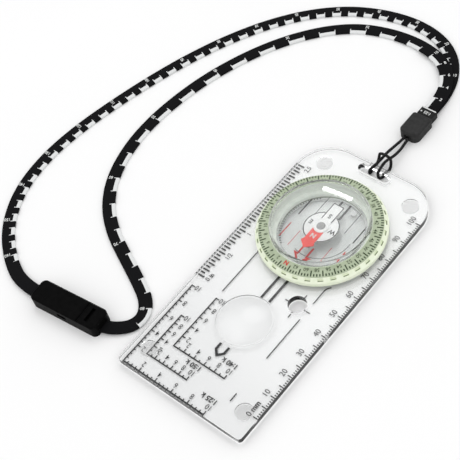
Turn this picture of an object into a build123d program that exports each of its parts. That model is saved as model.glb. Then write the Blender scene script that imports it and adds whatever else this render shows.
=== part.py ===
"""Baseplate compass with a turning dial, a liquid-type capsule and a flat neck lanyard.

Millimetres, +Z up.  The origin is on the surface that the compass lies on, under the middle of
the baseplate.  +Y is the direction of travel, so the lanyard leaves from the -Y end.
"""
from build123d import *
import math
import os

os.makedirs("parts", exist_ok=True)

# ---------------------------------------------------------------- driving dimensions
FIT = 0.05  # radial running clearance
GAP = 0.1  # axial running clearance

# baseplate
PLATE_W = 60.0
PLATE_L = 125.5
PLATE_T = 2.7
FOOT_H = 0.5  # how far the feet stand proud of the underside
FOOT_SINK = 0.5  # how deep they sit in their recesses
PLATE_Z = FOOT_H
PLATE_TOP = PLATE_Z + PLATE_T
FRONT_R = 1.5
REAR_R = 15.0
EDGE_R = 0.25
FOOT_D = 7.0
FOOT_EDGE_R = 0.3
FEET = [(-23.5, 52.5), (23.5, 52.5), (-21.0, -53.5), (21.0, -53.5)]

# features in the plate
STENCIL_AT = (-12.3, 7.0)
STENCIL_D = 7.4
LENS_AT = (0.0, 23.4)
LENS_R = 10.4
LENS_RISE = 0.9
LENS_MOAT = 0.8  # width of the shallow ring round the lens
MOAT_DEPTH = 0.35
LENS_ROOT = 0.5  # how deep the bulge is rooted in the plate
SLOT_Y = -58.8
SLOT_L = 15.0
SLOT_W = 3.8
RELIEF_W = 9.0  # underside notch where the loop cord passes under the rear bar
RELIEF_Z = 1.6

# dial, radii about its own axis
DIAL_Y = -24.6
NECK_R = 18.95
NECK_WALL = 1.0
NECK_BASE = 1.7
SEAT_R = 20.05
SEAT_Z = 4.2
DIAL_BASE = PLATE_TOP + GAP
GRIP_JOIN_R = 22.5
BAND_R = 24.3
BAND_Z = 8.0
RIM_TOP_Z = 8.4
GRIP_TOP_Z = 7.4
GRIP_R = 25.9
GRIP_MID_Z = 5.6
GRIP_FOOT_H = 0.9  # height of the bevel at the foot of the grip
GRIP_FOOT_INSET = 0.4
GRIP_COUNT = 32
GRIP_PHASE = 2.8  # degrees from +X to the first notch
NOTCH_W = 2.2  # along the rim
NOTCH_DEPTH = 1.5  # radially, from the rim inwards
NOTCH_FLOOR_Z = 6.2
RETAINER_R = 20.4
RETAINER_BORE_R = 16.8
RETAINER_BASE = 0.9
POCKET_R = 20.8
POCKET_TOP = 1.8

# capsule
FLOOR_R = NECK_R - NECK_WALL - GAP
FLOOR_BASE = 1.9
FLOOR_TOP = 2.9
CAPSULE_R = 19.95
CAPSULE_WALL = 1.0
CAPSULE_STEP = 0.8  # thickness of the shoulder between the floor cup and the wall
CAPSULE_TOP = 10.3
LID_EDGE_Z = 11.2
LID_T = 0.9
LID_APEX_Z = 13.0
LID_SHOULDER = 0.8
BOSS_R = 1.6
BOSS_TOP = 3.8
PLUG_D = 2.4
PLUG_AT_R = 14.6
PLUG_ANGLE = 250.0

# needle
PIVOT_R = 0.4
PIVOT_BASE = 2.2
PIVOT_SHOULDER = 5.3
PIVOT_TIP = 6.35
DISC_R = 7.1
DISC_BASE = 5.9
DISC_T = 0.3
POINTER_T = 0.3
POINTER_W = 4.8
NORTH_NECK = 7.6
NORTH_HEAD_W = 6.2
NORTH_SHOULDER = 8.8
NORTH_TIP = 11.4
SOUTH_END = 11.8
HUB_R = 3.0
JEWEL_R = 1.75
HUB_TOP = 6.9
JEWEL_TOP = 7.1
JEWEL_CUP_R = 0.8
JEWEL_CUP_TOP_R = 0.1
JEWEL_CUP_PLAY = 0.06
CAP_EDGE_R = 0.2
MAGNET_L = 20.0
MAGNET_W = 3.0
MAGNET_T = 0.9
MAGNET_BORE = 2.6

# lanyard
STRAP_W = 5.6
STRAP_T = 1.0
LOOP_D = 1.2
FERRULE_W = 9.0
FERRULE_H = 4.6
FERRULE_SPLIT = 2.1
FERRULE_FRONT = -81.4
FERRULE_BACK = -93.0
FERRULE_FRONT_R = 2.6
FERRULE_BACK_R = 1.0
FERRULE_BEVEL = 0.7
STRAP_X = -0.2  # the strands leave the ferrule this far off its middle
STRAP_POCKET_W = 5.9
STRAP_POCKET_Z = (0.9, 3.4)
STRAP_POCKET_FRONT = -86.6
CORD_SLOT_W = 3.2
CORD_SLOT_Z = (1.4, 2.8)
SLEEVE_BACK = -97.4
SLEEVE_W = 7.0
SLEEVE_Z = (0.3, 3.9)
SLEEVE_BORE_Z = (0.7, 3.5)
SLEEVE_EDGE_R = 0.3

# safety clip: its own frame runs along the clip, centred
CLIP_AT = (61.3, 56.7)
CLIP_ANGLE = 5.7
CLIP_L = 33.0
CLIP_W = 10.0
CLIP_H = 6.0
CLIP_R = 2.2
CLIP_EDGE = 0.6
PLUG_HEAD_L = 9.0
TONGUE_L = 13.5
TONGUE_W = 7.0
TONGUE_Z = (1.4, 4.6)
CLIP_STRAP_Z = (0.95, 2.25)
CLIP_STRAP_DEPTH = 5.0
TONGUE_ROOT = 1.0  # how deep the tongue is rooted in the plug's head
TONGUE_PLAY = 0.2
TONGUE_SPLIT_W = 2.4
TONGUE_SPLIT_AT = 3.0  # from the parting line
CATCH_L = 4.0
CATCH_AT = -1.5
CATCH_DEPTH = 0.7
CATCH_INSET = 0.9  # the catch noses are thinner than the tongue by this at top and bottom
CATCH_PLAY = 0.2
HEAD_SLOT_AT = 4.6  # slot across the top of the plug's head, from the strap end
HEAD_SLOT = (1.6, 6.2, 1.2)  # along the clip, across it, deep

# Routes of the lanyard, from one point to the next (x, y, z of the centre line)
OUTER_ROUTE = [
    (-0.2, -87.5, 1.45),
    (-0.2, -98.6, 1.4),
    (0.3, -108.5, 0.75),
    (3.2, -119.0, 0.55),
    (9.8, -128.6, 0.55),
    (20.6, -135.4, 0.55),
    (35.0, -137.9, 0.55),
    (50.6, -135.8, 0.55),
    (65.8, -130.0, 0.55),
    (79.8, -119.8, 0.55),
    (91.8, -106.2, 0.55),
    (101.8, -90.0, 0.55),
    (109.8, -72.4, 0.55),
    (116.2, -53.8, 0.55),
    (121.4, -34.4, 0.55),
    (125.6, -14.4, 0.55),
    (127.2, 5.4, 0.55),
    (124.2, 25.0, 0.55),
    (114.6, 42.0, 0.55),
    (100.4, 53.6, 0.55),
    (86.6, 59.2, 1.2),
    (73.6, 57.93, 1.6),
]
INNER_ROUTE = [
    (-0.2, -87.5, 2.75),
    (-0.1, -98.6, 2.75),
    (0.6, -107.6, 2.2),
    (3.6, -115.6, 1.9),
    (9.6, -122.4, 1.9),
    (18.7, -126.3, 1.6),
    (30.4, -128.3, 0.75),
    (43.0, -127.1, 0.55),
    (54.9, -123.3, 0.55),
    (65.4, -116.3, 0.55),
    (75.2, -106.1, 0.55),
    (83.6, -93.8, 0.55),
    (90.4, -79.7, 0.55),
    (95.6, -64.4, 0.55),
    (98.7, -48.8, 0.55),
    (100.0, -33.1, 0.55),
    (98.7, -17.5, 0.55),
    (93.7, -1.7, 0.55),
    (85.0, 10.9, 0.55),
    (73.1, 20.0, 0.55),
    (59.9, 26.3, 0.55),
    (48.6, 31.6, 0.55),
    (39.8, 36.3, 0.55),
    (35.2, 42.2, 0.55),
    (35.9, 48.3, 0.75),
    (40.2, 52.8, 1.25),
    (44.6, 55.03, 1.6),
    (48.8, 55.45, 1.6),
]
# the thin cord: out of the ferrule, round the rear bar as a cow hitch, and back
LOOP_HALF = [
    (0.8, -84.2, 2.1),
    (0.9, -79.6, 2.1),
    (1.6, -74.6, 2.2),
    (1.7, -69.6, 3.2),
    (1.0, -65.4, 4.4),
    (1.3, -61.8, 4.35),
    (1.9, -58.5, 4.3),
    (2.5, -58.6, 0.72),
    (3.0, -61.9, 0.7),
    (3.1, -65.3, 0.75),
    (2.9, -66.4, 3.6),
    (2.5, -66.6, 6.2),
]


# ---------------------------------------------------------------- shared helpers
def save(builder, name):
    """Label a finished piece and write it."""
    builder.part.label = name
    export_step(builder.part, f"parts/{name}.step")


def corner_radii(points):
    """Radius of the arc at each inner point: 0.45 of the shorter run over tan(half the turn)."""
    radii = []
    for before, here, after in zip(points, points[1:], points[2:]):
        run_in = Vector(*here) - Vector(*before)
        run_out = Vector(*after) - Vector(*here)
        turn = math.radians(run_in.get_angle(run_out))
        shorter = min(run_in.length, run_out.length)
        radii.append(0.45 * shorter / math.tan(turn / 2))
    return radii


def cord_tube(name, points, flat):
    """Sweep a strap or a round cord along straight runs joined by tangent arcs."""
    radii = corner_radii(points)
    with BuildPart() as cord:
        with BuildLine() as route:
            FilletPolyline(*points, radius=radii)
        path = route.wires()[0]
        start = Plane(origin=points[0], x_dir=(1, 0, 0), z_dir=path % 0)
        with BuildSketch(start) as section:
            if flat:
                Rectangle(STRAP_W, STRAP_T)
            else:
                Circle(LOOP_D / 2)
        if flat:
            # the guide above the path keeps a flat strap level
            sweep(path=path, binormal=path.moved(Location((0, 0, 20))))
        else:
            sweep(path=path)
    wanted = section.sketch.area * path.length
    print(f"{name}: length {path.length:.1f} volume {cord.part.volume:.1f} of {wanted:.1f}")
    print("  radii", " ".join(f"{r:.1f}" for r in radii))
    save(cord, name)


def dial_plane(height):
    return Plane(origin=(0, DIAL_Y, height))


def revolved(name, outline):
    """A ring or a cup turned about the dial axis from an outline of (radius, height) points."""
    with BuildPart() as ring:
        with BuildSketch(Plane(origin=(0, DIAL_Y, 0), x_dir=(1, 0, 0), z_dir=(0, -1, 0))):
            Polygon(*outline, align=None)
        revolve(axis=Axis((0, DIAL_Y, 0), (0, 0, 1)))
    save(ring, name)


# ---------------------------------------------------------------- baseplate and feet
def make_baseplate():
    with BuildPart() as baseplate:
        with BuildSketch(Plane.XY.offset(PLATE_Z)) as outline:
            Rectangle(PLATE_W, PLATE_L)
            fillet(outline.vertices().sort_by(Axis.Y)[-2:], FRONT_R)
            fillet(outline.vertices().sort_by(Axis.Y)[:2], REAR_R)
        extrude(amount=PLATE_T)
        rims = baseplate.faces().sort_by(Axis.Z)
        fillet(rims[-1].outer_wire().edges() + rims[0].outer_wire().edges(), EDGE_R)
        # hole for the capsule, with a pocket under it for the retaining ring
        with BuildSketch(dial_plane(PLATE_Z)):
            Circle(NECK_R + FIT)
        extrude(amount=PLATE_T, mode=Mode.SUBTRACT)
        with BuildSketch(dial_plane(PLATE_Z)):
            Circle(POCKET_R)
        extrude(amount=POCKET_TOP - PLATE_Z, mode=Mode.SUBTRACT)
        # lens: a shallow moat, then a bulge that stands on the floor of the moat
        with BuildSketch(Plane.XY.offset(PLATE_TOP)):
            with Locations(LENS_AT):
                Circle(LENS_R + LENS_MOAT)
        extrude(amount=-MOAT_DEPTH, mode=Mode.SUBTRACT)
        crown = MOAT_DEPTH + LENS_RISE
        ball_r = (LENS_R**2 + crown**2) / (2 * crown)
        lens_plane = Plane(origin=(*LENS_AT, 0), x_dir=(1, 0, 0), z_dir=(0, -1, 0))
        with BuildSketch(lens_plane):
            with BuildLine():
                base_z = PLATE_TOP - MOAT_DEPTH
                top = (0, PLATE_TOP + LENS_RISE)
                rim = (LENS_R, base_z)
                RadiusArc(top, rim, ball_r)
                Polyline(rim, (LENS_R, base_z - LENS_ROOT), (0, base_z - LENS_ROOT), top)
            make_face()
        revolve(axis=Axis((*LENS_AT, 0), (0, 0, 1)))
        # stencil hole
        with BuildSketch(Plane.XY.offset(PLATE_Z)):
            with Locations(STENCIL_AT):
                Circle(STENCIL_D / 2)
        extrude(amount=PLATE_T, mode=Mode.SUBTRACT)
        # lanyard slot and the relief under the rear bar
        with BuildSketch(Plane.XY.offset(PLATE_Z)):
            with Locations((0, SLOT_Y)):
                SlotOverall(SLOT_L, SLOT_W)
        extrude(amount=PLATE_T, mode=Mode.SUBTRACT)
        relief_front = SLOT_Y
        relief_back = -PLATE_L / 2 - 1
        with BuildSketch(Plane.XY.offset(PLATE_Z)):
            with Locations((0, (relief_front + relief_back) / 2)):
                Rectangle(RELIEF_W, relief_front - relief_back)
        extrude(amount=RELIEF_Z - PLATE_Z, mode=Mode.SUBTRACT)
        # recesses for the feet
        with BuildSketch(Plane.XY.offset(PLATE_Z)):
            with Locations(*FEET):
                Circle(FOOT_D / 2)
        extrude(amount=FOOT_SINK, mode=Mode.SUBTRACT)
    save(baseplate, "baseplate")


def make_feet():
    for number, (x, y) in enumerate(FEET, start=1):
        with BuildPart() as foot:
            with BuildSketch(Plane.XY):
                with Locations((x, y)):
                    Circle(FOOT_D / 2)
            extrude(amount=FOOT_H + FOOT_SINK)
            fillet(foot.edges().group_by(Axis.Z)[0], FOOT_EDGE_R)
        save(foot, f"friction_foot_{number}")


# ---------------------------------------------------------------- dial
def make_graduation_ring():
    revolved(
        "graduation_ring",
        [
            (NECK_R - NECK_WALL, NECK_BASE),
            (NECK_R, NECK_BASE),
            (NECK_R, DIAL_BASE),
            (GRIP_JOIN_R, DIAL_BASE),
            (GRIP_JOIN_R, GRIP_TOP_Z),
            (BAND_R, GRIP_TOP_Z),
            (BAND_R, BAND_Z),
            (SEAT_R, RIM_TOP_Z),
            (SEAT_R, SEAT_Z),
            (NECK_R - NECK_WALL, SEAT_Z),
        ],
    )


def make_grip_ring():
    """Outer luminous rim with finger notches on its shoulder."""
    with BuildPart() as grip_ring:
        with BuildSketch(Plane(origin=(0, DIAL_Y, 0), x_dir=(1, 0, 0), z_dir=(0, -1, 0))):
            Polygon(
                (GRIP_JOIN_R, DIAL_BASE),
                (GRIP_R - GRIP_FOOT_INSET, DIAL_BASE),
                (GRIP_R, DIAL_BASE + GRIP_FOOT_H),
                (GRIP_R, GRIP_MID_Z),
                (BAND_R, GRIP_TOP_Z),
                (GRIP_JOIN_R, GRIP_TOP_Z),
                align=None,
            )
        revolve(axis=Axis((0, DIAL_Y, 0), (0, 0, 1)))
        with BuildSketch(dial_plane(NOTCH_FLOOR_Z)):
            with PolarLocations(GRIP_R, GRIP_COUNT, start_angle=GRIP_PHASE):
                Rectangle(2 * NOTCH_DEPTH, NOTCH_W)
        extrude(amount=GRIP_TOP_Z - NOTCH_FLOOR_Z, mode=Mode.SUBTRACT)
    save(grip_ring, "grip_ring")


def make_retaining_ring():
    with BuildPart() as retaining_ring:
        with BuildSketch(dial_plane(RETAINER_BASE)):
            Circle(RETAINER_R)
            Circle(RETAINER_BORE_R, mode=Mode.SUBTRACT)
        extrude(amount=NECK_BASE - RETAINER_BASE)
    save(retaining_ring, "retaining_ring")


def make_capsule():
    """Cup that carries the printed floor, its dome lid and the filling plug."""
    plug_angle = math.radians(PLUG_ANGLE)
    plug_at = (PLUG_AT_R * math.cos(plug_angle), PLUG_AT_R * math.sin(plug_angle))
    with BuildPart() as capsule_base:
        with BuildSketch(Plane(origin=(0, DIAL_Y, 0), x_dir=(1, 0, 0), z_dir=(0, -1, 0))):
            Polygon(
                (0, FLOOR_BASE),
                (FLOOR_R, FLOOR_BASE),
                (FLOOR_R, SEAT_Z),
                (CAPSULE_R, SEAT_Z),
                (CAPSULE_R, CAPSULE_TOP),
                (CAPSULE_R - CAPSULE_WALL, CAPSULE_TOP),
                (CAPSULE_R - CAPSULE_WALL, SEAT_Z + CAPSULE_STEP),
                (FLOOR_R - CAPSULE_WALL, SEAT_Z + CAPSULE_STEP),
                (FLOOR_R - CAPSULE_WALL, FLOOR_TOP),
                (BOSS_R, FLOOR_TOP),
                (BOSS_R, BOSS_TOP),
                (0, BOSS_TOP),
                align=None,
            )
        revolve(axis=Axis((0, DIAL_Y, 0), (0, 0, 1)))
        with BuildSketch(dial_plane(PIVOT_BASE)):
            Circle(PIVOT_R)
        extrude(amount=BOSS_TOP - PIVOT_BASE, mode=Mode.SUBTRACT)
        with BuildSketch(dial_plane(FLOOR_BASE)):
            with Locations(plug_at):
                Circle(PLUG_D / 2)
        extrude(amount=FLOOR_TOP - FLOOR_BASE, mode=Mode.SUBTRACT)
    save(capsule_base, "capsule_base")

    with BuildPart() as fill_plug:
        with BuildSketch(dial_plane(FLOOR_BASE)):
            with Locations(plug_at):
                Circle(PLUG_D / 2)
        extrude(amount=FLOOR_TOP - FLOOR_BASE)
    save(fill_plug, "fill_plug")

    rise = LID_APEX_Z - LID_EDGE_Z
    inner_r = CAPSULE_R - CAPSULE_WALL
    outer_r = CAPSULE_R - LID_SHOULDER
    outer_ball = (outer_r**2 + rise**2) / (2 * rise)
    inner_ball = (inner_r**2 + rise**2) / (2 * rise)
    with BuildPart() as capsule_lid:
        with BuildSketch(Plane(origin=(0, DIAL_Y, 0), x_dir=(1, 0, 0), z_dir=(0, -1, 0))):
            with BuildLine():
                shoulder = (CAPSULE_R, LID_EDGE_Z - LID_SHOULDER)
                RadiusArc((0, LID_APEX_Z), (outer_r, LID_EDGE_Z), outer_ball)
                RadiusArc((outer_r, LID_EDGE_Z), shoulder, LID_SHOULDER)
                Line(shoulder, (CAPSULE_R, CAPSULE_TOP))
                Line((CAPSULE_R, CAPSULE_TOP), (inner_r, CAPSULE_TOP))
                RadiusArc((0, LID_APEX_Z - LID_T), (inner_r, CAPSULE_TOP), inner_ball)
                Line((0, LID_APEX_Z - LID_T), (0, LID_APEX_Z))
            make_face()
        revolve(axis=Axis((0, DIAL_Y, 0), (0, 0, 1)))
    save(capsule_lid, "capsule_lid")


# ---------------------------------------------------------------- needle
def make_pivot_pin():
    with BuildPart() as pivot_pin:
        with BuildSketch(dial_plane(PIVOT_BASE)):
            Circle(PIVOT_R)
        extrude(amount=PIVOT_SHOULDER - PIVOT_BASE)
        with BuildSketch(dial_plane(PIVOT_SHOULDER)):
            Circle(PIVOT_R)
        with BuildSketch(dial_plane(PIVOT_TIP)):
            Circle(PIVOT_R / 8)
        loft()
    save(pivot_pin, "pivot_pin")


def make_needle():
    disc_top = DISC_BASE + DISC_T
    with BuildPart() as needle_disc:
        with BuildSketch(dial_plane(DISC_BASE)):
            Circle(DISC_R)
            Circle(HUB_R, mode=Mode.SUBTRACT)
        extrude(amount=DISC_T)
    save(needle_disc, "needle_disc")

    half = POINTER_W / 2
    half_head = NORTH_HEAD_W / 2
    with BuildPart() as north_pointer:
        with BuildSketch(dial_plane(disc_top)):
            Polygon(
                (-half, 0),
                (half, 0),
                (half, NORTH_NECK),
                (half_head, NORTH_SHOULDER),
                (0, NORTH_TIP),
                (-half_head, NORTH_SHOULDER),
                (-half, NORTH_NECK),
                align=None,
            )
            Circle(HUB_R, mode=Mode.SUBTRACT)
        extrude(amount=POINTER_T)
    save(north_pointer, "north_pointer")

    with BuildPart() as south_pointer:
        with BuildSketch(dial_plane(disc_top)):
            with Locations((0, -SOUTH_END / 2)):
                Rectangle(POINTER_W, SOUTH_END)
            Circle(HUB_R, mode=Mode.SUBTRACT)
        extrude(amount=POINTER_T)
    save(south_pointer, "south_pointer")

    with BuildPart() as needle_hub:
        with BuildSketch(dial_plane(DISC_BASE)):
            Circle(HUB_R)
            Circle(JEWEL_R, mode=Mode.SUBTRACT)
        extrude(amount=HUB_TOP - DISC_BASE)
        fillet(needle_hub.edges().group_by(Axis.Z)[-1].sort_by(SortBy.RADIUS)[-1], CAP_EDGE_R)
    save(needle_hub, "needle_hub")

    cup_top = PIVOT_TIP + JEWEL_CUP_PLAY
    with BuildPart() as jewel_bearing:
        with BuildSketch(dial_plane(DISC_BASE)):
            Circle(JEWEL_R)
        extrude(amount=JEWEL_TOP - DISC_BASE)
        fillet(jewel_bearing.edges().group_by(Axis.Z)[-1], CAP_EDGE_R)
        with BuildSketch(dial_plane(DISC_BASE)):
            Circle(JEWEL_CUP_R)
        with BuildSketch(dial_plane(cup_top)):
            Circle(JEWEL_CUP_TOP_R)
        loft(mode=Mode.SUBTRACT)
    save(jewel_bearing, "jewel_bearing")

    with BuildPart() as needle_magnet:
        with BuildSketch(dial_plane(DISC_BASE - MAGNET_T)):
            Rectangle(MAGNET_W, MAGNET_L)
            Circle(MAGNET_BORE / 2, mode=Mode.SUBTRACT)
        extrude(amount=MAGNET_T)
    save(needle_magnet, "needle_magnet")


# ---------------------------------------------------------------- lanyard hardware
def ferrule_half(name, z_low, z_high, fillet_top):
    """One of the two shells clamped round the strap ends and the loop cord."""
    middle = (FERRULE_FRONT + FERRULE_BACK) / 2
    length = FERRULE_FRONT - FERRULE_BACK
    with BuildPart() as half:
        with BuildSketch(Plane.XY.offset(z_low)) as outline:
            with Locations((0, middle)):
                Rectangle(FERRULE_W, length)
            fillet(outline.vertices().sort_by(Axis.Y)[-2:], FERRULE_FRONT_R)
            fillet(outline.vertices().sort_by(Axis.Y)[:2], FERRULE_BACK_R)
        extrude(amount=z_high - z_low)
        if fillet_top:
            chamfer(half.faces().sort_by(Axis.Z)[-1].edges(), FERRULE_BEVEL)
        pocket_len = STRAP_POCKET_FRONT - FERRULE_BACK
        with BuildSketch(Plane.XY.offset(STRAP_POCKET_Z[0])):
            with Locations((STRAP_X, STRAP_POCKET_FRONT - pocket_len / 2)):
                Rectangle(STRAP_POCKET_W, pocket_len)
        extrude(amount=STRAP_POCKET_Z[1] - STRAP_POCKET_Z[0], mode=Mode.SUBTRACT)
        slot_len = FERRULE_FRONT - STRAP_POCKET_FRONT
        with BuildSketch(Plane.XY.offset(CORD_SLOT_Z[0])):
            with Locations((0, STRAP_POCKET_FRONT + slot_len / 2)):
                Rectangle(CORD_SLOT_W, slot_len)
        extrude(amount=CORD_SLOT_Z[1] - CORD_SLOT_Z[0], mode=Mode.SUBTRACT)
    save(half, name)


def make_ferrule():
    ferrule_half("ferrule_bottom", 0.0, FERRULE_SPLIT, False)
    ferrule_half("ferrule_top", FERRULE_SPLIT, FERRULE_H, True)


def make_strap_sleeve():
    length = FERRULE_BACK - SLEEVE_BACK
    middle = (FERRULE_BACK + SLEEVE_BACK) / 2
    with BuildPart() as strap_sleeve:
        with BuildSketch(Plane.XY.offset(SLEEVE_Z[0])):
            with Locations((STRAP_X, middle)):
                Rectangle(SLEEVE_W, length)
        extrude(amount=SLEEVE_Z[1] - SLEEVE_Z[0])
        fillet(strap_sleeve.edges().filter_by(Axis.Y), SLEEVE_EDGE_R)
        with BuildSketch(Plane.XY.offset(SLEEVE_BORE_Z[0])):
            with Locations((STRAP_X, middle)):
                Rectangle(STRAP_POCKET_W, length)
        extrude(amount=SLEEVE_BORE_Z[1] - SLEEVE_BORE_Z[0], mode=Mode.SUBTRACT)
    save(strap_sleeve, "strap_sleeve")


def clip_plane(height):
    """Plane of the safety clip: its X runs along the clip towards the outer strand."""
    angle = math.radians(CLIP_ANGLE)
    return Plane(
        origin=(CLIP_AT[0], CLIP_AT[1], height),
        x_dir=(math.cos(angle), math.sin(angle), 0),
        z_dir=(0, 0, 1),
    )


def make_clip():
    """Break-away clip: a plug with a split tongue that springs into the socket."""
    half = CLIP_L / 2
    parting = -half + PLUG_HEAD_L
    tongue_tip = parting + TONGUE_L
    tongue_low, tongue_high = TONGUE_Z
    catch_low = tongue_low + CATCH_INSET
    catch_high = tongue_high - CATCH_INSET
    window_low = catch_low - CATCH_PLAY
    window_high = catch_high + CATCH_PLAY
    catch_end = CATCH_AT + CATCH_L
    with BuildPart() as clip_socket:
        with BuildSketch(clip_plane(0)):
            with Locations(((parting + half) / 2, 0)):
                Rectangle(half - parting, CLIP_W)
        extrude(amount=CLIP_H)
        outer_end = clip_socket.edges().filter_by(Axis.Z).sort_by(Axis.X)[2:]
        fillet(outer_end, CLIP_R)
        chamfer(clip_socket.faces().sort_by(Axis.Z)[-1].edges(), CLIP_EDGE)
        hollows = [
            # room for the tongue, with clearance all round
            (parting, tongue_tip + TONGUE_PLAY, TONGUE_W + TONGUE_PLAY, tongue_low - GAP, tongue_high + GAP),
            # side windows for the catch noses
            (CATCH_AT - CATCH_PLAY, catch_end + CATCH_PLAY, 2 * CLIP_W, window_low, window_high),
            # pocket for the strap end
            (half - CLIP_STRAP_DEPTH, half, STRAP_POCKET_W, *CLIP_STRAP_Z),
        ]
        for x_low, x_high, width, z_low, z_high in hollows:
            with BuildSketch(clip_plane(z_low)):
                with Locations(((x_low + x_high) / 2, 0)):
                    Rectangle(x_high - x_low, width)
            extrude(amount=z_high - z_low, mode=Mode.SUBTRACT)
    save(clip_socket, "clip_socket")

    with BuildPart() as clip_plug:
        with BuildSketch(clip_plane(0)):
            with Locations(((parting - half) / 2, 0)):
                Rectangle(PLUG_HEAD_L, CLIP_W)
        extrude(amount=CLIP_H)
        outer_end = clip_plug.edges().filter_by(Axis.Z).sort_by(Axis.X)[:2]
        fillet(outer_end, CLIP_R)
        chamfer(clip_plug.faces().sort_by(Axis.Z)[-1].edges(), CLIP_EDGE)
        with BuildSketch(clip_plane(tongue_low)):
            with Locations((parting + (TONGUE_L - TONGUE_ROOT) / 2, 0)):
                Rectangle(TONGUE_L + TONGUE_ROOT, TONGUE_W)
        extrude(amount=tongue_high - tongue_low)
        # catch noses on both flanks of the tongue
        with BuildSketch(clip_plane(catch_low)):
            with Locations((CATCH_AT + CATCH_L / 2, 0)):
                Rectangle(CATCH_L, TONGUE_W + 2 * CATCH_DEPTH)
        extrude(amount=catch_high - catch_low)
        slot_len, slot_width, slot_depth = HEAD_SLOT
        slot_start = -half + HEAD_SLOT_AT
        hollows = [
            # split that lets the flanks of the tongue spring inwards
            (parting + TONGUE_SPLIT_AT, tongue_tip + 1, TONGUE_SPLIT_W, tongue_low, tongue_high),
            # slot across the top of the head
            (slot_start, slot_start + slot_len, slot_width, CLIP_H - slot_depth, CLIP_H),
            # pocket for the strap end
            (-half, -half + CLIP_STRAP_DEPTH, STRAP_POCKET_W, *CLIP_STRAP_Z),
        ]
        for x_low, x_high, width, z_low, z_high in hollows:
            with BuildSketch(clip_plane(z_low)):
                with Locations(((x_low + x_high) / 2, 0)):
                    Rectangle(x_high - x_low, width)
            extrude(amount=z_high - z_low, mode=Mode.SUBTRACT)
    save(clip_plug, "clip_plug")


def make_cords():
    cord_tube("strap_outer", OUTER_ROUTE, True)
    cord_tube("strap_inner", INNER_ROUTE, True)
    loop_route = LOOP_HALF + [(-x, y, z) for x, y, z in reversed(LOOP_HALF)]
    cord_tube("loop_cord", loop_route, False)


make_baseplate()
make_feet()
make_graduation_ring()
make_grip_ring()
make_retaining_ring()
make_capsule()
make_pivot_pin()
make_needle()
make_ferrule()
make_strap_sleeve()
make_clip()
make_cords()
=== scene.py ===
import math

import bpy
from mathutils import Matrix, Vector


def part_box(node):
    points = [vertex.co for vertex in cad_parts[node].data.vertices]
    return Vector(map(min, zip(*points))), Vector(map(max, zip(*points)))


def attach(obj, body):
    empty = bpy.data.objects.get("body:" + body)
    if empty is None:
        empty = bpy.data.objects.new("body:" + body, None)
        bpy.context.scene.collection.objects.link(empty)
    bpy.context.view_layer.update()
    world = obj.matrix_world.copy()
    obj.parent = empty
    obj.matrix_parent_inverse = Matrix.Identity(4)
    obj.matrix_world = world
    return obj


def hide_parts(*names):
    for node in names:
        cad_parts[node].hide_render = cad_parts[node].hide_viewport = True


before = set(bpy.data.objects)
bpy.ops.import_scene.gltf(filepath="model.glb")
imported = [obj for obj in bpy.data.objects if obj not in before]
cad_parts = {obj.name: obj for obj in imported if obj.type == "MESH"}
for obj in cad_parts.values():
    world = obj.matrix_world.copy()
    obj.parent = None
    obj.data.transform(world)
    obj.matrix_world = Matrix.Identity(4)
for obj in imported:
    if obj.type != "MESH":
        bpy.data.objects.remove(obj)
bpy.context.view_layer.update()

MM = 0.001

# ---------------------------------------------------------------- driving sizes, millimetres
PLATE_LOW, PLATE_HIGH = (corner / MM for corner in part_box("baseplate"))
GRIP_LOW, GRIP_HIGH = (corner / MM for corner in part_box("grip_ring"))
EDGE_X = PLATE_HIGH.x
PLATE_UNDER = PLATE_LOW.z
DIAL_Y = (GRIP_LOW.y + GRIP_HIGH.y) / 2
INK = 0.03  # thickness of printed marks
INK_IN_PLATE = PLATE_UNDER + 0.02

# the sloping degree band, (radius, height) at its outer and inner edge
BAND_OUT = (24.3, 8.0)
BAND_IN = (20.05, 8.4)
CAPSULE_FLOOR = 2.9
NEEDLE_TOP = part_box("north_pointer")[1].z / MM
DISC_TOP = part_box("needle_disc")[1].z / MM

STRAP_W = 5.6
STRAP_T = 1.0
LOOP_D = 1.2
SLEEVE_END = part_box("strap_sleeve")[0].y / MM

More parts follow.
